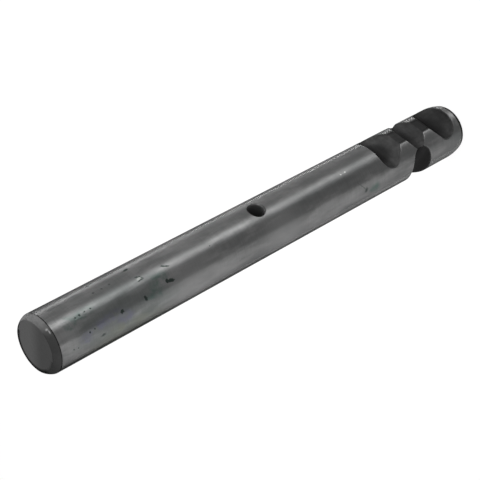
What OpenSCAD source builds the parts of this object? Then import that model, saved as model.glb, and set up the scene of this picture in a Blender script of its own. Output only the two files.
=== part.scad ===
/* [Rod] */
// Diameter of the ground rod
rod_d = 20; // [16:0.5:25]
// Length over both end faces
rod_len = 194; // [170:1:260]

/* [Plain end] */
// Length of the chamfer along the rod
chamfer_len = 2.25; // [0.5:0.25:4]
// Angle between the chamfer and the side of the rod
chamfer_angle = 30; // [15:1:45]

/* [Notched end] */
// Length over which the side curves in to the end face
lead_len = 6; // [3:0.5:8]
// How far the side has curved in at the end face
lead_drop = 1; // [0.4:0.1:1.5]

/* [Detent seats] */
// Distance of the last seat from the notched end face
seat_from_end = 10; // [9:0.5:16]
// Distance from one seat to the next
seat_pitch = 15; // [13.5:0.5:20]
// Depth of the two outer seats below the side of the rod
stop_depth = 4.75; // [2.5:0.05:5.5]
// Radius of the outer wall of the outer seats, which ends the rod's travel
stop_r = 6.1; // [5.5:0.05:7.5]
// Radius at the root of the wall that leads out of an outer seat
ramp_root_r = 3.6; // [2:0.1:4]
// Lean of that wall from square to the rod
ramp_lean = 52; // [40:1:58]
// Depth of the middle seat below the side of the rod
mid_depth = 3.4; // [2:0.05:4]
// Radius at the root of the middle seat
mid_root_r = 4; // [2:0.1:4.5]
// Lean of the walls of the middle seat from square to the rod
mid_lean = 47; // [35:1:52]
// Depth of the flat that joins the seats
flat_depth = 0.55; // [0.2:0.05:1]

/* [Side notches] */
// Angle round the rod from the seats to the middle of each side notch
side_turn = 105; // [95:1:112]
// Depth of the two notches beside the middle seat
side_depth = 5.2; // [4:0.05:6]
// Radius at the root of these notches
side_root_r = 4.9; // [3.5:0.1:5]
// Lean of their walls from square to the rod
side_lean = 22; // [0:1:30]

/* [Pin hole] */
// Diameter of the hole through the rod
pin_d = 6; // [4:0.5:8]
// Distance of that hole from the plain end face
pin_from_end = 90.5; // [40:0.5:110]

/* [Hidden] */
$fn = 128;
clear = 1; // how far a cutting shape runs past the surface that it cuts
seam_turn = 90; // where the turned face starts, on the back between the side notches
rod_r = rod_d / 2;
seats = [for (i = [0:2]) seat_from_end + i * seat_pitch]; // heights of the seats above the notched end
over = rod_r + clear; // height over the rod's axis up to which a seat is cut
chamfer_drop = chamfer_len * tan(chamfer_angle);
lead_r = (lead_len * lead_len + lead_drop * lead_drop) / (2 * lead_drop);

// Half the outline of the rod, which is turned round its axis: square at the plain end but for the chamfer,
// and curved in along an arc at the notched end
module half_outline() {
    intersection() {
        polygon([
            [0, 0],
            [rod_r, 0],
            [rod_r, rod_len - chamfer_len],
            [rod_r - chamfer_drop, rod_len],
            [0, rod_len]
        ]);
        union() {
            translate([rod_r - lead_r, lead_len]) circle(r = lead_r, $fn = 512);
            translate([0, lead_len]) square([rod_r, rod_len]);
        }
    }
}

// One side of a notch, seen across the rod: x runs along the rod from the middle of the notch and y is the
// height over the rod's axis. A round root of radius root_r meets a straight wall that leans outwards.
module half_notch(depth, root_r, lean) {
    root_y = rod_r - depth + root_r;
    touch = [root_r * cos(lean), root_y - root_r * sin(lean)];
    intersection() {
        translate([0, root_y]) circle(r = root_r);
        translate([0, root_y - 2 * root_r]) square([2 * root_r, 4 * root_r]);
    }
    if (over > touch.y)
        polygon([[0, root_y], touch, [touch.x + (over - touch.y) * tan(lean), over], [0, over]]);
}

module notch(depth, root_r, lean) {
    half_notch(depth, root_r, lean);
    mirror([1, 0]) half_notch(depth, root_r, lean);
}

// An outer seat: an upright wall on the far side and a ramp towards the middle seat
module stop_seat() {
    half_notch(stop_depth, ramp_root_r, ramp_lean);
    mirror([1, 0]) half_notch(stop_depth, stop_r, 0);
}

// The outline of one form cutter that makes the three seats and the flat between them in one pass
module seat_row() {
    translate([seats[0], 0]) stop_seat();
    translate([seats[1], 0]) notch(mid_depth, mid_root_r, mid_lean);
    translate([seats[2], 0]) mirror([1, 0]) stop_seat();
    translate([seats[0], rod_r - flat_depth]) square([seats[2] - seats[0], flat_depth + clear]);
}

// Carries an outline straight across the rod, with its y turned to the side of the rod named by turn:
// 0 is the front (-Y), and 90 and -90 are the two sides
module across(turn) {
    rotate([0, 0, turn]) rotate([0, -90, 180]) linear_extrude(rod_d + 2 * clear, center = true) children();
}

module pin_hole() {
    translate([0, 0, rod_len - pin_from_end])
        rotate([90, 0, 0])
            cylinder(d = pin_d, h = rod_d + 2 * clear, center = true);
}

module rod() {
    color("dimgray")
        difference() {
            rotate([0, 0, seam_turn]) rotate_extrude() half_outline();
            across(0) seat_row();
            for (turn = [-side_turn, side_turn])
                across(turn) translate([seats[1], 0]) notch(side_depth, side_root_r, side_lean);
            pin_hole();
        }
}

rod();
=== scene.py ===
# Hitch rod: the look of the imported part, in a plain pale studio
import math

import bpy
import numpy as np
from mathutils import Euler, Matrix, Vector


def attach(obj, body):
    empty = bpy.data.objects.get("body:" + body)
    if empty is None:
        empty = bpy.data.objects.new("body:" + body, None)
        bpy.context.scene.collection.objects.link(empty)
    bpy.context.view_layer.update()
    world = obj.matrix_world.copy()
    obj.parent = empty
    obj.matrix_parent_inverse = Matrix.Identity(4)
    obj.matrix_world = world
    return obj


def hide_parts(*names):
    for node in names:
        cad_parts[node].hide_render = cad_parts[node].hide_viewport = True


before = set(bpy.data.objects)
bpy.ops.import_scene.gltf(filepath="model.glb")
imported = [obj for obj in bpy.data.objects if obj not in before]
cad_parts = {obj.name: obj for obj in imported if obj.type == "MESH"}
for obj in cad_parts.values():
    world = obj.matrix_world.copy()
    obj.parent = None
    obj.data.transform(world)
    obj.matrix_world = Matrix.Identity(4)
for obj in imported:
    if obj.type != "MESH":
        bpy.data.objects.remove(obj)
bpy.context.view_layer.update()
mm = 0.001
scene = bpy.context.scene
scene.view_settings.view_transform = "Standard"
print("frame loaded:", sorted(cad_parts))


def linearColor(hexText):
    # An sRGB hex value as linear RGBA
    parts = [int(hexText[i:i + 2], 16) / 255 for i in (1, 3, 5)]
    return tuple(c / 12.92 if c <= 0.04045 else ((c + 0.055) / 1.055) ** 2.4 for c in parts) + (1.0,)


def addNode(tree, kind, inputs=(), **settings):
    # Adds a shader node with its settings. An input, by name or number, gets a link from a node or a
    # socket, a hex colour or a plain value.
    node = tree.nodes.new("ShaderNode" + kind)
    for name, value in settings.items():
        setattr(node, name, value)
    for key, value in dict(inputs).items():
        if isinstance(value, bpy.types.Node):
            value = value.outputs[0]
        if isinstance(value, bpy.types.NodeSocket):
            tree.links.new(value, node.inputs[key])
        else:
            node.inputs[key].default_value = linearColor(value) if isinstance(value, str) else value
    return node


# The surface of the rod
front = math.radians(-90)                # azimuth of the seats
rodSize = dict(
    # the solid, in millimetres and degrees, as in the part's source
    radius=10.0, length=194.0,
    chamferLength=2.25, chamferAngle=30.0,
    leadLength=6.0, leadDrop=1.0,        # where the side curves in to the notched end face
    seatHeights=(10.0, 25.0, 40.0),      # of the three detent seats over the notched end
    stopDepth=4.75, stopRadius=6.1,      # first and last seat: an upright stop wall on one side
    rampRadius=3.6, rampLean=52.0,       # and a leaning ramp on the other
    middleDepth=3.4, middleRadius=4.0, middleLean=47.0,
    flatDepth=0.55,                      # of the flat milled on the front between the outer seats
    sideDepth=5.2, sideRadius=4.9, sideLean=22.0, sideTurn=105.0,
    pinRadius=3.0, pinHeight=103.5,
    # edges, broken and worn
    edgeBreak=0.22,                      # where a notch meets the ground side
    cornerBreak=0.25,                    # round the chamfer and the end faces
    chamferBow=0.15,                     # how far the hand-dressed chamfer swells
    pinBreak=0.18,                       # at the mouths of the pin hole
    pinWear=1.6, pinWearTurn=-75.0,      # how much wider a mouth is worn on one side, and which side
    # the grid
    columns=292,
    footRings=(1.5, 3.0, 4.5, 6.0, 7.2, 8.1, 8.55),    # radii of its rings on the notched end face
    faceRings=(8.2, 7.2, 6.0, 4.5, 3.0, 1.5),          # and on the plain end face
    sideRows=(                           # rows up the side: from, to, step
        (0.5, 3.6, 0.35), (3.7, 47.6, 0.2), (48.2, 49.5, 0.8), (50, 98, 3.2), (98.4, 108.8, 0.425),
        (111.5, 189, 3.2), (190.2, 191.5, 0.9),
    ),
    chamferRows=(0.15, 0.85, 6),         # rows up the chamfer: first share, last share, count
    windowHalf=4.6, windowColumns=24,    # half height and half width of a window round a mouth
    apronShares=(0.75, 0.5, 0.3, 0.16, 0.07),          # rings between the window's edge and the mouth
    # rings over the mouth's broken edge: out from the wall and down from the side, in widths of that
    # edge, and depth in the scale
    mouthRings=((2.0, 0.0, -0.2), (1.0, 0.06, -0.05), (0.45, 0.25, 0.05), (0.12, 0.6, 0.3)),
    wallRings=((0.298, 1.0), (0.64, 3.0)),             # rings on the wall: down from the side, depth
    tunnelShares=(0.6, 0.2, -0.2, -0.6),               # rings between the two mouths
)
# the dark borders and strips, in millimetres: how far the dark scale reaches, and the painted shade
# along its edges
borders = dict(
    # fades round the rod that pick the sides of painted shade and painted light: direction in degrees,
    # gain and offset
    shadedRimSide=(0.0, 3.0, 1.6), litChamferSide=(0.0, 1.6, 0.0), chamferShadeSide=(90.0, 2.0, -1.0),
    shadedRimBand=0.6,                        # painted shade: how much wider the dark border of the seats is on the side turned away
    footBand=1.4,                        # border on the side next to the notched end face
    chamferBand=0.08,                    # and next to the chamfer
    chamferFrom=-0.1, chamferTo=2.75,    # the chamfer's strip, along the surface from its lower edge
    chamferShadeWidth=0.4,                       # extra width of that strip on the side with painted shade
    seatZone=(3.0, 60.0), seatLine=0.8,  # heights of the seats, and strength of the painted shade line there
    litChamferZone=180.0, litChamferLine=0.4,    # height above which the painted shade line is lifted on the lit side, how far
    litMouthLine=0.6,                        # how far the painted shade line is lifted on the lit side of the pin hole's mouths
    tunnelTone=0.5,                      # share of the bore's grey in the middle of the pin hole
    outside=-4.0, deep=4.0,              # depths in the scale far from it and far inside it
    scaleFrom=0.1,                       # depth at which a face gets the scale's material
)
# what the materials read, by name, and its value in the middle of the two end faces
poleMarks = dict(scaleDepth=borders["deep"], sideNotch=0, endFace=1, chamfer=0, bore=0, borderLine=1)


def rootedWall(u, depth, rootRadius, lean):
    # Height of a notch's surface over the axis at distance u from its middle: a circle round the root
    # up to the point where a wall that leans outwards touches it, and that straight wall from there on
    rootHeight = rodSize["radius"] - depth + rootRadius
    a = math.radians(lean)
    touchU, touchH = rootRadius * math.cos(a), rootHeight - rootRadius * math.sin(a)
    circle = rootHeight - np.sqrt(np.clip(rootRadius**2 - u**2, 0, None))
    wall = touchH + (u - touchU) / max(math.tan(a), 1e-4)
    return np.where(u < touchU, circle, wall)


def cutHeights(z, away):
    # For each height z, the surface height of every cut over the axis (away where there is none), and
    # the azimuth that the cut faces
    s = rodSize
    first, middle, last = s["seatHeights"]
    cuts = []
    for centre, sign in ((first, -1), (last, 1)):
        u = (z - centre) * sign          # positive on the side of the upright wall
        stop = rootedWall(np.clip(u, 0, None), s["stopDepth"], s["stopRadius"], 0)
        stop = np.where(u < s["stopRadius"], stop, away)
        ramp = rootedWall(-u, s["stopDepth"], s["rampRadius"], s["rampLean"])
        cuts.append((np.where(u > 0, stop, ramp), front))
    u = abs(z - middle)
    cuts.append((rootedWall(u, s["middleDepth"], s["middleRadius"], s["middleLean"]), front))
    cuts.append((np.where((z > first) & (z < last), s["radius"] - s["flatDepth"], away), front))
    sideWall = rootedWall(u, s["sideDepth"], s["sideRadius"], s["sideLean"])
    for side in (-1, 1):
        cuts.append((sideWall, front + side * math.radians(s["sideTurn"])))
    return cuts


def smoothMin(a, b, width):
    # The smaller of a and b, rounded over the given width where they cross
    near = np.clip(width - abs(a - b), 0, None)
    return np.minimum(a, b) - near**2 / (4 * width)


def roundedCorner(before, corner, after, reach, steps=4):
    # Points of a parabola that touches both legs of a corner at the given reach
    before, corner, after = (np.array(p, float) for p in (before, corner, after))
    start = corner + (before - corner) * reach / np.linalg.norm(before - corner)
    end = corner + (after - corner) * reach / np.linalg.norm(after - corner)
    t = np.linspace(0, 1, steps + 1)[:, None]
    return (1 - t)**2 * start + 2 * t * (1 - t) * corner + t**2 * end


def fadeRound(angle, facing, gain, offset):
    # gain * cos(angle from the facing direction) - offset, kept between 0 and 1
    return np.clip(np.cos(angle - math.radians(facing)) * gain - offset, 0, 1)


def sideProfile():
    # The outline that is turned round the axis, from the middle of the notched end face to the middle
    # of the plain end face: rows of (radius, height). The lead is an arc that touches the side, and the
    # chamfer a straight line with a shallow parabola on it.
    s = rodSize
    r, length, k = s["radius"], s["length"], s["cornerBreak"]
    leadRadius = (s["leadLength"]**2 + s["leadDrop"]**2) / (2 * s["leadDrop"])
    z = np.concatenate([np.arange(*run) for run in s["sideRows"]])
    lead = r - leadRadius + np.sqrt(leadRadius**2 - np.clip(s["leadLength"] - z, 0, None)**2)
    side = np.c_[lead, z]
    foot = np.array([(x, 0.0) for x in s["footRings"]])
    footCorner = roundedCorner((0, 0), (r - s["leadDrop"], 0), side[0], k)
    slope = math.radians(s["chamferAngle"])
    edge = np.array((r, length - s["chamferLength"]))
    top = np.array((r - s["chamferLength"] * math.tan(slope), length))
    t = np.linspace(*s["chamferRows"])[:, None]
    bow = 4 * s["chamferBow"] * t * (1 - t) * np.array([math.cos(slope), math.sin(slope)])
    chamfer = edge + t * (top - edge) + bow
    chamferLow = roundedCorner((r, 0), edge, chamfer[0], k)
    chamferHigh = roundedCorner(chamfer[-1], top, (0, length), k)
    face = np.array([(x, length) for x in s["faceRings"]])
    return np.vstack([foot, footCorner, side, chamferLow, chamfer, chamferHigh, face])


def notchedSide(rows, azimuth):
    # The grid's radius: the smallest of the outline's radius and, for each cut, its height / cos(angle
    # from the direction that it faces), with rounded edges. With it come each point's depth inside the
    # cuts, and a mark for the side notches.
    turned, z = rows[:, :1], rows[:, 1:]
    away, grazing = 1e3, 0.02            # no cut there, and the least cosine at which a cut is met
    radius = np.broadcast_to(turned, (len(rows), len(azimuth))).copy()
    inCut, sideNotch = np.full_like(radius, borders["outside"]), np.zeros_like(radius)
    # painted shade: the dark border reaches further over the seats' rims on the side turned away
    shadedRim = borders["shadedRimBand"] * fadeRound(azimuth, *borders["shadedRimSide"])
    for height, facing in cutHeights(z, away):
        lean = np.cos(azimuth - facing)[None, :]
        reach = np.where(lean > grazing, height / np.maximum(lean, grazing), away)
        depth = turned - reach
        if facing == front:
            depth = depth + shadedRim
        else:
            sideNotch = np.maximum(sideNotch, depth > np.maximum(inCut, 0))
        inCut = np.maximum(inCut, depth)
        radius = smoothMin(radius, reach, rodSize["edgeBreak"])
    return radius, inCut, sideNotch


def gridMarks(rows, azimuth, inCut, sideNotch):
    # What the materials read at each point of the grid. scaleDepth says how deep it lies in dark scale,
    # in millimetres along or under the surface, from the border of a notch, the chamfer or an end face.
    s, b = rodSize, borders
    z = rows[:, 1:]
    path = np.r_[0, np.cumsum(np.linalg.norm(np.diff(rows, axis=0), axis=1))]
    rowAt = lambda r, h: np.argmin(np.hypot(rows[:, 0] - r, rows[:, 1] - h))
    pastChamfer = (path - path[rowAt(s["radius"], s["length"] - s["chamferLength"])])[:, None]
    beforeFoot = (path[rowAt(s["radius"] - s["leadDrop"], 0)] - path)[:, None]
    ends = np.maximum(pastChamfer + b["chamferBand"], beforeFoot + b["footBand"])
    # painted shade: the chamfer's strip is wider on one side
    chamferShade = b["chamferShadeWidth"] * fadeRound(azimuth, *b["chamferShadeSide"])
    # strength of the painted shade line along the borders: weaker at the seats except on the side
    # turned away, and lifted on the lit side near the plain end
    seatLine = b["seatLine"] + (1 - b["seatLine"]) * fadeRound(azimuth, *b["shadedRimSide"])
    litChamferLine = 1 - b["litChamferLine"] * fadeRound(azimuth, *b["litChamferSide"])
    low, high = b["seatZone"]
    line = np.where((z < low) | (z > high), 1.0, seatLine)
    found = dict(
        scaleDepth=np.maximum(inCut, ends),
        sideNotch=sideNotch,
        endFace=np.maximum(pastChamfer - b["chamferTo"], beforeFoot) > 0,
        chamfer=(pastChamfer > b["chamferFrom"]) & (pastChamfer < b["chamferTo"] + chamferShade),
        bore=0,
        borderLine=np.where(z > b["litChamferZone"], litChamferLine, line),
    )
    return {name: np.broadcast_to(values, inCut.shape).ravel() for name, values in found.items()}


def pinTunnel(arc, rise):
    # Rings of points from a window's edge, given as distances round and up from the hole's middle, in
    # to the mouth, over its broken edge, through the rod and out again. A point of a ring lies
    # sqrt(radius^2 - across^2) off the middle plane, less the ring's drop below the side. With them
    # come the marks that the materials read.
    s, b = rodSize, borders
    turn, span = np.arctan2(rise, arc), np.hypot(arc, rise)
    # the side where the mouth's edge is worn wider, and where the painted shade line is lifted for the
    # lit side
    worn = fadeRound(turn, s["pinWearTurn"], 1, 0)**3
    edge = s["pinBreak"] * (1 + s["pinWear"] * worn)
    lip = s["pinRadius"] + s["mouthRings"][0][0] * edge
    rings = [(lip + share * (span - lip), 0, -1.0) for share in s["apronShares"]]
    rings += [(s["pinRadius"] + out * edge, drop * edge, dark) for out, drop, dark in s["mouthRings"]]
    rings += [(s["pinRadius"], drop, dark) for drop, dark in s["wallRings"]]
    mouth = []
    for reach, drop, dark in rings:
        across, up = reach * np.cos(turn), s["pinHeight"] + reach * np.sin(turn)
        mouth.append(np.stack([across, drop - np.sqrt(s["radius"]**2 - across**2), up], -1))
    middle = [mouth[-1] * (1, share, 1) for share in s["tunnelShares"]]
    tunnel = np.array(mouth + middle + [ring * (1, -1, 1) for ring in mouth[::-1]])
    depths = [dark for reach, drop, dark in rings]
    bore = [float(dark > 0) for dark in depths]
    depths = depths + [b["deep"]] * len(middle) + depths[::-1]
    bore = bore + [b["tunnelTone"]] * len(middle) + bore[::-1]
    found = {name: np.zeros(tunnel[..., 0].size) for name in poleMarks}
    found["scaleDepth"] = np.repeat(depths, len(turn))
    found["bore"] = np.repeat(bore, len(turn))
    found["borderLine"] = np.tile(1 - b["litMouthLine"] * worn, len(tunnel))
    return tunnel, found


def buildRod():
    # One closed skin: a grid over azimuth and the turned outline, a fan at each pole, and the pin
    # hole's tunnel joined into two windows of the grid
    s = rodSize
    rows, columns, half = sideProfile(), s["columns"], s["windowColumns"]
    heights = rows[:, 1]
    azimuth = front + np.arange(columns) * 2 * math.pi / columns
    radius, inCut, sideNotch = notchedSide(rows, azimuth)
    z = np.broadcast_to(heights[:, None], radius.shape)
    points = np.stack([radius * np.cos(azimuth), radius * np.sin(azimuth), z], -1)
    grid = np.arange(radius.size).reshape(radius.shape)
    # the loop of grid points round a window, as rows and as steps of columns from the hole's middle
    low = np.searchsorted(heights, s["pinHeight"] - s["windowHalf"])
    high = np.searchsorted(heights, s["pinHeight"] + s["windowHalf"])
    left, up = np.arange(-half, half), np.arange(low, high)
    loopRows = np.r_[[low] * len(left), up, [high] * len(left), up[::-1] + 1]
    loopSteps = np.r_[left, [half] * len(up), left[::-1] + 1, [-half] * len(up)]
    arc, rise = loopSteps * 2 * math.pi / columns * s["radius"], heights[loopRows] - s["pinHeight"]
    tunnel, tunnelMarks = pinTunnel(arc, rise)
    tunnelIndex = grid.size + np.arange(tunnel[..., 0].size).reshape(tunnel.shape[:2])
    frontLoop = grid[loopRows, loopSteps % columns]
    backLoop = grid[loopRows, (columns // 2 - loopSteps) % columns]
    loops = np.vstack([frontLoop, tunnelIndex, backLoop])
    bottomPole, topPole = tunnelIndex[-1, -1] + (1, 2)
    # faces: the grid without its two windows, the tunnel's loops, and the fans
    keep = np.ones((len(rows) - 1, columns), bool)
    keep[low:high, left % columns] = False
    keep[low:high, (columns // 2 - left - 1) % columns] = False
    r, c = np.nonzero(keep)
    nextC = (c + 1) % columns
    inner, outer = loops[:-1], loops[1:]
    quads = np.vstack([
        np.stack([grid[r, c], grid[r, nextC], grid[r + 1, nextC], grid[r + 1, c]], -1),
        np.stack([inner, np.roll(inner, -1, 1), np.roll(outer, -1, 1), outer], -1).reshape(-1, 4),
    ])
    fans = np.vstack([
        np.stack([np.full(columns, bottomPole), np.roll(grid[0], -1), grid[0]], -1),
        np.stack([grid[-1], np.roll(grid[-1], -1), np.full(columns, topPole)], -1),
    ])
    # the grid's points inside the two windows are on no face, so they are left out
    used, corners = np.unique(np.r_[quads.ravel(), fans.ravel()], return_inverse=True)
    quads, fans = corners[:quads.size].reshape(-1, 4), corners[quads.size:].reshape(-1, 3)
    poles = [[0, 0, 0], [0, 0, s["length"]]]
    vertices = np.vstack([points.reshape(-1, 3), tunnel.reshape(-1, 3), poles])[used]
    mesh = bpy.data.meshes.new("rodSkin")
    mesh.from_pydata((vertices * mm).tolist(), [], [*quads.tolist(), *fans.tolist()])
    mesh.polygons.foreach_set("use_smooth", np.ones(len(mesh.polygons), bool))
    sideMarks = gridMarks(rows, azimuth, inCut, sideNotch)
    for name, pole in poleMarks.items():
        values = np.r_[sideMarks[name], tunnelMarks[name], pole, pole][used].astype(np.float32)
        mesh.attributes.new(name, "FLOAT", "POINT").data.foreach_set("value", values)
        if name == "scaleDepth":         # dark scale where a face lies wholly inside it
            inScale = np.r_[values[quads].min(1), values[fans].min(1)] > borders["scaleFrom"]
            mesh.polygons.foreach_set("material_index", inScale.astype(np.int32))
    mesh.update()
    rod = bpy.data.objects.new("rodSkin", mesh)
    scene.collection.objects.link(rod)
    return rod


rod = buildRod()
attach(rod, "root")
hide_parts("rod")
print("rod skin:", len(rod.data.polygons), "faces")

# Materials
steelLook = dict(
    # the ground side: general grey, bright and dull clouds
    ground="#5b5b5b", worn="#686868", shade="#515252",
    bare="#6e6e6e", nose="#646464",      # brighter: bare places, and a painted highlight on the nose
    green="#424f4b", violet="#54535f", brown="#5d5a50",    # stains
    # pits and a scratch, and painted highlights: specks beside pits, and glints
    pit="#2b312f", faintPit="#393c3b", scratch="#4e504f", speck="#6e706e", glint="#8c8e8c",
    # painted shade: a dark line along the edge where the ground side ends
    rim="#191919",                       # the line where the ground side ends
    # the dark scale, with painted shade at the roots of the seats and in the side notches
    scale="#383838", scaleDark="#303030", seatRoot="#202020", sideNotchShade="#262626",
    face="#565656", faceShade="#474747", bored="#606060",
    # the chamfer, with painted light on one side, painted glints, and painted shade round the other
    # side
    chamfer="#333333", chamferLight="#575757", chamferGlint="#767676", chamferShade="#1b1b1b",
    limbTint="#666666",                  # how much darker the steel is at a glancing angle
    cameraSide=-124.5,                   # azimuth from which arc lengths on the side are counted
    faceTurn=-170.0,                     # direction in which the plain end face gets darker
    bareStrength=0.6,
    stains=dict(green=0.8, violet=0.75, brown=0.35),       # and how strong they are
    oil="#fbfffe", yellowOil="#fdfff9",  # what thin films of oil let through
    pitRelief=-0.6,                      # depth of the pits next to the height of the waves
    waveHeight=0.05, grainHeight=0.03,   # in millimetres
)
# sizes of the patterns' cells in millimetres
cells = dict(pitEdge=0.625, stainEdge=2.857, nosePatch=1.11, mottle=2.0, grain=0.4545)
# noises stretched along the bar or round it: width and length of a cell in millimetres, detail and
# roughness
stretchedNoises = dict(
    clouds=(6.25, 20.0, 5.0, 0.6),
    rings=(8.333, 0.5882, 3.0, 0.5),     # real grinding marks are too fine to show at this size
    waves=(5.0, 11.11, 1.0, 0.5),
)
# fades of a noise, a depth or a height: from low, from high, to low, to high (0 and 1 if left out)
fades = dict(
    dull=(0.34, 0.56), bright=(0.5, 0.7), nosePatch=(0.35, 0.55, 0.3, 1.0), ring=(0.3, 0.7, 0.95, 1.05),
    stain=(0.36, 0.6), groundEdge=(-0.14, -0.02), groundRoughness=(0.3, 0.7, 0.5, 0.4),
    mottle=(0.35, 0.65), root=(1.6, 4.2), nearFoot=(36.0, 12.0, 0.0, 0.55), faceShade=(-3.0, 3.5),
    scaleEdge=(0.08, 0.25), scaleRoughness=(0.3, 0.7, 0.76, 0.64),
)
# marks on the surface: height and azimuth, half length along the rod and half width round it in
# millimetres, and tilt in degrees
marks = dict(
    pit=[
        (182.8, -113.7, 0.28, 0.30, 0), (181.3, -112.3, 0.32, 0.38, 20), (179.2, -111.2, 0.24, 0.26, 0),
        (176.9, -111.1, 0.26, 0.30, 30), (157.7, -73.5, 1.0, 0.5, 10), (157.1, -99.4, 0.85, 0.22, -10),
        (155.9, -103.8, 0.24, 0.95, 37), (156.7, -107.9, 1.1, 0.2, 2), (146.4, -105.7, 1.5, 0.22, -26),
        (147.1, -133.7, 1.4, 0.6, -14), (148.5, -131.3, 0.6, 0.7, 0), (158.0, -140.9, 0.5, 0.9, 20),
        (167.6, -141.3, 0.6, 0.65, 0), (178.5, -145.5, 0.3, 0.25, 0), (180.5, -147.0, 0.3, 0.3, 0),
        (187.2, -162.4, 0.28, 0.26, 0), (185.5, -164.0, 0.3, 0.26, 0), (127.9, -111.2, 0.25, 0.25, 0),
    ],
    faintPit=[
        (172.6, -87.0, 0.4, 0.3, 0), (169.4, -87.0, 0.35, 0.3, 0), (166.3, -86.4, 0.35, 0.3, 0),
        (171.5, -63.5, 0.6, 0.5, 0), (175.9, -165.0, 0.9, 0.4, 10), (56.2, -162.6, 0.95, 0.7, 40),
    ],
    bare=[(139.5, -163.0, 10.0, 9.0, 0), (97.0, -158.0, 8.0, 8.0, 0)],
    scratch=[(58.0, -151.0, 2.7, 0.2, -48)],
    glint=[(62.7, -106.9, 0.32, 0.26, 0), (64.9, -108.2, 0.32, 0.26, 0)],
    green=[
        (152.6, -129.0, 2.6, 3.4, 0), (154.2, -141.8, 4.2, 0.9, -2), (180.0, -112.5, 4.2, 1.3, 4),
        (185.7, -113.5, 2.4, 1.8, 0), (51.6, -169.0, 2.6, 2.2, 0), (150.5, -119.0, 3.2, 1.6, 0),
    ],
    violet=[
        (174.6, -142.6, 7.0, 1.5, 9), (181.5, -152.0, 3.0, 1.6, 0), (167.0, -152.0, 3.2, 2.0, 0),
    ],
    brown=[(161.5, -172.7, 2.6, 1.6, 0), (170.0, -168.0, 2.6, 1.6, 0)],
    oil=[(168.5, -136.0, 17.0, 6.5, 0), (166.0, -160.0, 20.0, 3.5, 0)],
    yellowOil=[(165.5, -187.0, 15.0, 4.2, 0)],
    speck=[(156.8, -103.9, 0.8, 0.42, 0), (145.9, -107.0, 1.2, 0.16, -26)],
    nose=[(2.3, -94.0, 1.9, 4.2, 0), (2.6, -126.0, 0.9, 1.2, 0), (2.0, -75.0, 1.2, 1.4, 0)],
    # on the chamfer: painted light on one side, and painted glints
    chamferLight=[(193.0, -56.0, 2.2, 8.8, 0)],
    chamferGlint=[(192.7, -107.5, 0.35, 0.35, 0), (192.45, -113.5, 0.18, 0.6, 0)],
    # painted shade on the chamfer: one mark, given once for each way round the rod
    chamferShade=[(193.6, 60.0, 2.6, 14.6, 0), (193.6, -300.0, 2.6, 14.6, 0)],
)
# how softly each kind of mark ends, as a share of its size
markSoftness = dict(
    nose=0.4, bare=0.8, green=0.45, violet=0.45, brown=0.45, oil=0.35, yellowOil=0.35,
    speck=0.4, glint=0.5, scratch=0.5, faintPit=0.5, pit=0.25,
    chamferLight=0.35, chamferGlint=0.5, chamferShade=0.1,
)


def newMaterial(name):
    material = bpy.data.materials.new(name)
    material.use_nodes = True
    material.node_tree.nodes.clear()
    return material, material.node_tree


def fadeInputs(name):
    # The inputs that one of the named fades gives a Map Range node
    return dict(zip(("From Min", "From Max", "To Min", "To Max"), fades[name]))


def skinCoordinates(tree):
    # Object coordinates in millimetres, and the same point unrolled: (arc length from the camera's
    # side, height, 0)
    where = addNode(tree, "TexCoord").outputs["Object"]
    inMm = addNode(tree, "VectorMath", {0: where, "Scale": 1 / mm}, operation="SCALE")
    start = math.radians(-steelLook["cameraSide"])
    turned = addNode(tree, "VectorRotate", {"Vector": inMm, "Angle": start}, rotation_type="Z_AXIS")
    x, y, z = addNode(tree, "SeparateXYZ", {0: turned}).outputs
    angle = addNode(tree, "Math", {0: y, 1: x}, operation="ARCTAN2")
    arc = addNode(tree, "Math", {0: angle, 1: rodSize["radius"]}, operation="MULTIPLY")
    return inMm, addNode(tree, "CombineXYZ", {"X": arc, "Y": z})


def frayedPlace(tree, inMm, flat, cell, push, **inputs):
    # The unrolled place pushed about by a noise of the given cell size, which frays the marks that are
    # drawn there, and that noise
    noise = addNode(tree, "TexNoise", {"Vector": inMm, "Scale": 1 / cell, **inputs})
    centred = addNode(tree, "VectorMath", {0: noise.outputs["Color"], 1: (0.5, 0.5, 0.5)},
                      operation="SUBTRACT")
    moved = addNode(tree, "VectorMath", {0: centred, 1: (push, push, 0)}, operation="MULTIPLY")
    return addNode(tree, "VectorMath", {0: flat, 1: moved}, operation="ADD"), noise


def markMask(tree, flat, kind, soft=None):
    # 1 inside any of the marks of one kind: the least of their elliptical distances, faded over a share
    nearest = None
    for height, azimuth, along, across, tilt in marks[kind]:
        arc = math.radians(azimuth - steelLook["cameraSide"]) * rodSize["radius"]
        local = addNode(tree, "Mapping", {
            "Vector": flat, "Location": (arc, height, 0), "Rotation": (0, 0, math.radians(tilt)),
            "Scale": (across, along, 1)}, vector_type="TEXTURE")
        distance = addNode(tree, "VectorMath", {0: local}, operation="LENGTH").outputs["Value"]
        if nearest is not None:
            distance = addNode(tree, "Math", {0: nearest, 1: distance}, operation="MINIMUM")
        nearest = distance
    soft = soft or markSoftness[kind]
    return addNode(tree, "MapRange", {"Value": nearest, "From Min": 1 + soft, "From Max": 1 - soft},
                   interpolation_type="SMOOTHSTEP")


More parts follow.
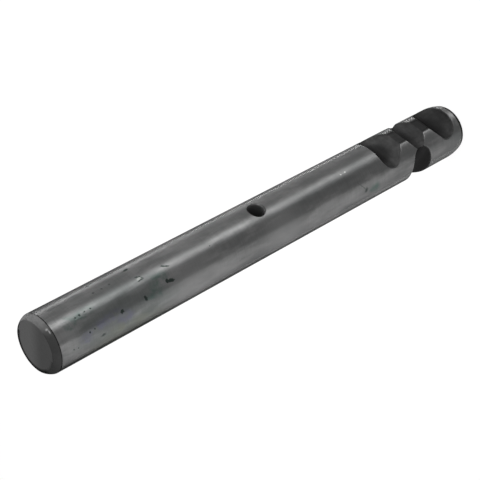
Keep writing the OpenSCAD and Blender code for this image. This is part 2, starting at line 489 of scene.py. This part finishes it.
def groundSteel():
    # Steel bar, hardened and then ground round: dark grey gloss. The grinding runs round the bar, so
    # that lamps show as streaks along it; clouds, stains and small pits keep the streaks from looking
    # drawn with a ruler.
    look = steelLook
    material, tree = newMaterial("groundSteel")
    inMm, flat = skinCoordinates(tree)
    pitPlace = frayedPlace(tree, inMm, flat, cells["pitEdge"], push=0.8, Detail=2.0)[0]
    stainPlace, drift = frayedPlace(tree, inMm, flat, cells["stainEdge"], push=4.0, Detail=5.0,
                                    Roughness=0.6)
    noises = []
    for width, length, detail, rough in stretchedNoises.values():
        scaled = addNode(tree, "Mapping", {
            "Vector": inMm, "Scale": (1 / width, 1 / width, 1 / length)})
        noises.append(addNode(tree, "TexNoise", {
            "Vector": scaled, "Scale": 1.0, "Detail": detail, "Roughness": rough}))
    clouds, rings, waves = noises
    # long clouds, a painted highlight in patches on the nose, the fine rings left by grinding, and
    # bare places
    dull = addNode(tree, "MapRange", {"Value": clouds, **fadeInputs("dull")})
    bright = addNode(tree, "MapRange", {"Value": clouds, **fadeInputs("bright")})
    patches = addNode(tree, "TexNoise", {
        "Vector": inMm, "Scale": 1 / cells["nosePatch"], "Detail": 4.0})
    patches = addNode(tree, "MapRange", {"Value": patches, **fadeInputs("nosePatch")})
    nose = addNode(tree, "Math", {0: markMask(tree, flat, "nose"), 1: patches}, operation="MULTIPLY")
    ringTone = addNode(tree, "MapRange", {"Value": rings, **fadeInputs("ring")})
    bare = addNode(tree, "Math", {0: markMask(tree, flat, "bare"), 1: look["bareStrength"]},
                   operation="MULTIPLY")
    layers = [
        ("MIX", dull, look["ground"]), ("MIX", bright, look["worn"]), ("MIX", nose, look["nose"]),
        ("MULTIPLY", 1.0, ringTone), ("MIX", bare, look["bare"]),
    ]
    # stains, broken up by the noise that frays them, thin films of oil, small marks and painted
    # highlights
    for kind, strength in look["stains"].items():
        broken = addNode(tree, "MapRange", {"Value": drift, **fadeInputs("stain"), "To Max": strength})
        patch = addNode(tree, "Math", {0: markMask(tree, stainPlace, kind), 1: broken},
                        operation="MULTIPLY")
        layers.append(("MIX", patch, look[kind]))
    for kind in ("oil", "yellowOil"):
        layers.append(("MULTIPLY", markMask(tree, stainPlace, kind), look[kind]))
    for kind in ("speck", "glint", "scratch", "faintPit", "pit"):
        layers.append(("MIX", markMask(tree, pitPlace, kind), look[kind]))
    # painted shade: a dark line where the ground side ends at a notch, the chamfer or the pin hole
    depth = addNode(tree, "Attribute", attribute_name="scaleDepth").outputs["Fac"]
    line = addNode(tree, "Attribute", attribute_name="borderLine").outputs["Fac"]
    edge = addNode(tree, "MapRange", {"Value": depth, **fadeInputs("groundEdge"), "To Max": line})
    layers.append(("MIX", edge, look["rim"]))
    color = look["shade"]
    for blend, mask, paint in layers:
        color = addNode(tree, "Mix", {"Factor": mask, 6: color, 7: paint}, data_type="RGBA",
                        blend_type=blend).outputs[2]
    roughness = addNode(tree, "MapRange", {"Value": clouds, **fadeInputs("groundRoughness")})
    # relief: the pits, and very low waves that make the streaks waver, because no bar is quite straight
    pits = markMask(tree, pitPlace, "pit", soft=0.4)
    relief = addNode(tree, "Math", {0: pits, 1: look["pitRelief"], 2: waves},
                     operation="MULTIPLY_ADD")
    bump = addNode(tree, "Bump", {
        "Height": relief, "Strength": 1.0, "Distance": look["waveHeight"] * mm})
    axis = addNode(tree, "CombineXYZ", {"Z": 1.0})
    shader = addNode(tree, "BsdfPrincipled", {
        "Base Color": color, "Roughness": roughness, "Normal": bump, "Tangent": axis, "Metallic": 1.0,
        "Anisotropic": 1.0, "Specular Tint": look["limbTint"]})
    addNode(tree, "OutputMaterial", {0: shader})
    return material


def darkScale():
    # Steel milled and then hardened: a thin dark oxide scale, satin, paler on flat ends, with a fine
    # mottle; painted shade makes it nearly black in the side notches and at the roots of the seats
    look = steelLook
    material, tree = newMaterial("darkScale")
    inMm, flat = skinCoordinates(tree)
    depth, line, sideNotch, endFace, chamfer, bore = (
        addNode(tree, "Attribute", attribute_name=name).outputs["Fac"]
        for name in ("scaleDepth", "borderLine", "sideNotch", "endFace", "chamfer", "bore"))
    # mottled, with painted shade towards the roots of the seats, and darker towards the notched end
    mottle = addNode(tree, "TexNoise", {"Vector": inMm, "Scale": 1 / cells["mottle"], "Detail": 6.0,
                                        "Roughness": 0.65})
    tone = addNode(tree, "MapRange", {"Value": mottle, **fadeInputs("mottle")})
    root = addNode(tree, "MapRange", {"Value": depth, **fadeInputs("root")},
                   interpolation_type="SMOOTHSTEP")
    height = addNode(tree, "SeparateXYZ", {0: inMm}).outputs[2]
    nearFoot = addNode(tree, "MapRange", {"Value": height, **fadeInputs("nearFoot")})
    # the plain end face is darker past a soft line across its middle
    turn = math.radians(look["faceTurn"])
    across = addNode(tree, "VectorMath", {0: inMm, 1: (math.cos(turn), math.sin(turn), 0)},
                     operation="DOT_PRODUCT").outputs["Value"]
    half = addNode(tree, "MapRange", {"Value": across, **fadeInputs("faceShade")},
                   interpolation_type="SMOOTHSTEP")
    faceColor = addNode(tree, "Mix", {"Factor": half, 6: look["face"], 7: look["faceShade"]},
                        data_type="RGBA").outputs[2]
    # painted shade in the side notches
    layers = [
        (tone, look["scale"]), (root, look["seatRoot"]), (nearFoot, look["seatRoot"]),
        (sideNotch, look["sideNotchShade"]), (endFace, faceColor), (chamfer, look["chamfer"]),
        (bore, look["bored"]),
    ]
    # on the chamfer: painted light, painted glints and painted shade
    for kind in ("chamferLight", "chamferGlint", "chamferShade"):
        patch = addNode(tree, "Math", {0: markMask(tree, flat, kind), 1: chamfer},
                        operation="MULTIPLY")
        layers.append((patch, look[kind]))
    # the painted shade line that starts on the ground side ends here
    edge = addNode(tree, "MapRange", {"Value": depth, **fadeInputs("scaleEdge"), "To Min": line,
                                      "To Max": 0.0})
    layers.append((edge, look["rim"]))
    color = look["scaleDark"]
    for mask, paint in layers:
        color = addNode(tree, "Mix", {"Factor": mask, 6: color, 7: paint},
                        data_type="RGBA").outputs[2]
    roughness = addNode(tree, "MapRange", {"Value": mottle, **fadeInputs("scaleRoughness")})
    grain = addNode(tree, "TexNoise", {"Vector": inMm, "Scale": 1 / cells["grain"], "Detail": 3.0})
    bump = addNode(tree, "Bump", {
        "Height": grain, "Strength": 0.5, "Distance": look["grainHeight"] * mm})
    shader = addNode(tree, "BsdfPrincipled", {
        "Base Color": color, "Roughness": roughness, "Normal": bump, "Metallic": 1.0,
        "Specular Tint": look["limbTint"]})
    addNode(tree, "OutputMaterial", {0: shader})
    return material


rod.data.materials.append(groundSteel())
rod.data.materials.append(darkScale())
print("materials made")

# Studio
studio = dict(
    floorSize=6.0, floorGlow=0.92, floorColor="#606060", wallColor="#f6f6f6",
    ambient=0.25,
    aimHeight=0.1,                       # where on the rod the lamps point
    lamps=[                              # name, azimuth, elevation, distance, width, height, radiance
        ("keyCore", -91, 8, 0.9, 0.2, 0.5, 9.0),
        ("keyHalo", -91, 8, 1.0, 0.55, 0.5, 6.8),
        ("backStrip", -17, 26, 0.36, 0.046, 0.28, 17.5),
        ("backFill", 0, 12, 0.95, 0.42, 0.6, 1.9),
        ("rightFill", -54, 6, 1.0, 0.76, 0.4, 2.6),
        ("sideFill", 159, 5, 0.85, 1.45, 0.28, 6.0),
        ("overhead", 110, 75, 1.0, 0.8, 0.8, 2.3),
    ],
    # the camera, at the photo's angle
    cameraPlace=(-0.209623, -0.305003, 0.379454), cameraTurn=(-32.8609, 45.401, -166.6046),
    lens=103.324, sensor=36.0, clip=(0.01, 50),
)


def whiteBehind(tree, plain, glow):
    # A mix of a plain shader and a white glow that only camera, glossy and transmission rays see
    rays = addNode(tree, "LightPath").outputs
    seen = addNode(tree, "Math", {0: rays["Is Camera Ray"], 1: rays["Is Glossy Ray"]},
                   operation="MAXIMUM")
    seen = addNode(tree, "Math", {0: seen, 1: rays["Is Transmission Ray"]}, operation="MAXIMUM")
    return addNode(tree, "MixShader", {0: seen, 1: plain, 2: glow})


def makeFloor():
    size = studio["floorSize"]
    corners = [(-size, -size, 0), (size, -size, 0), (size, size, 0), (-size, size, 0)]
    mesh = bpy.data.meshes.new("studioFloor")
    mesh.from_pydata(corners, [], [(0, 1, 2, 3)])
    floor = bpy.data.objects.new("studioFloor", mesh)
    scene.collection.objects.link(floor)
    material, tree = newMaterial("paleFloor")
    plain = addNode(tree, "BsdfDiffuse", {"Color": studio["floorColor"]})
    glow = addNode(tree, "Emission", {"Strength": studio["floorGlow"]})
    lit = addNode(tree, "AddShader", {0: plain, 1: glow})
    addNode(tree, "OutputMaterial", {0: whiteBehind(tree, plain, lit)})
    mesh.materials.append(material)


def makeWorld():
    world = bpy.data.worlds.new("paleStudio")
    scene.world = world
    world.use_nodes = True
    tree = world.node_tree
    tree.nodes.clear()
    plain = addNode(tree, "Background", {"Strength": studio["ambient"]})
    glow = addNode(tree, "Background", {"Color": studio["wallColor"], "Strength": 1.0})
    addNode(tree, "OutputWorld", {0: whiteBehind(tree, plain, glow)})


def makeLamps():
    # Soft panels, each at its azimuth, elevation and distance from the point that all of them face
    aim = Vector((0, 0, studio["aimHeight"]))
    for name, azimuth, elevation, distance, width, height, radiance in studio["lamps"]:
        a, e = math.radians(azimuth), math.radians(elevation)
        lamp = bpy.data.lights.new(name, "AREA")
        lamp.shape = "RECTANGLE"
        lamp.size, lamp.size_y = width, height
        lamp.energy = radiance * width * height * math.pi
        away = Vector((math.cos(e) * math.cos(a), math.cos(e) * math.sin(a), math.sin(e)))
        panel = bpy.data.objects.new(name, lamp)
        panel.location = aim + distance * away
        panel.rotation_euler = (-away).to_track_quat("-Z", "Y").to_euler()
        panel.visible_camera = False
        scene.collection.objects.link(panel)


def makeCamera():
    data = bpy.data.cameras.new("photoCamera")
    data.sensor_width, data.lens = studio["sensor"], studio["lens"]
    data.clip_start, data.clip_end = studio["clip"]
    camera = bpy.data.objects.new("photoCamera", data)
    camera.location = studio["cameraPlace"]
    camera.rotation_euler = Euler([math.radians(v) for v in studio["cameraTurn"]], "XYZ")
    scene.collection.objects.link(camera)
    scene.camera = camera


makeFloor()
makeWorld()
makeLamps()
makeCamera()
print("studio and camera set")
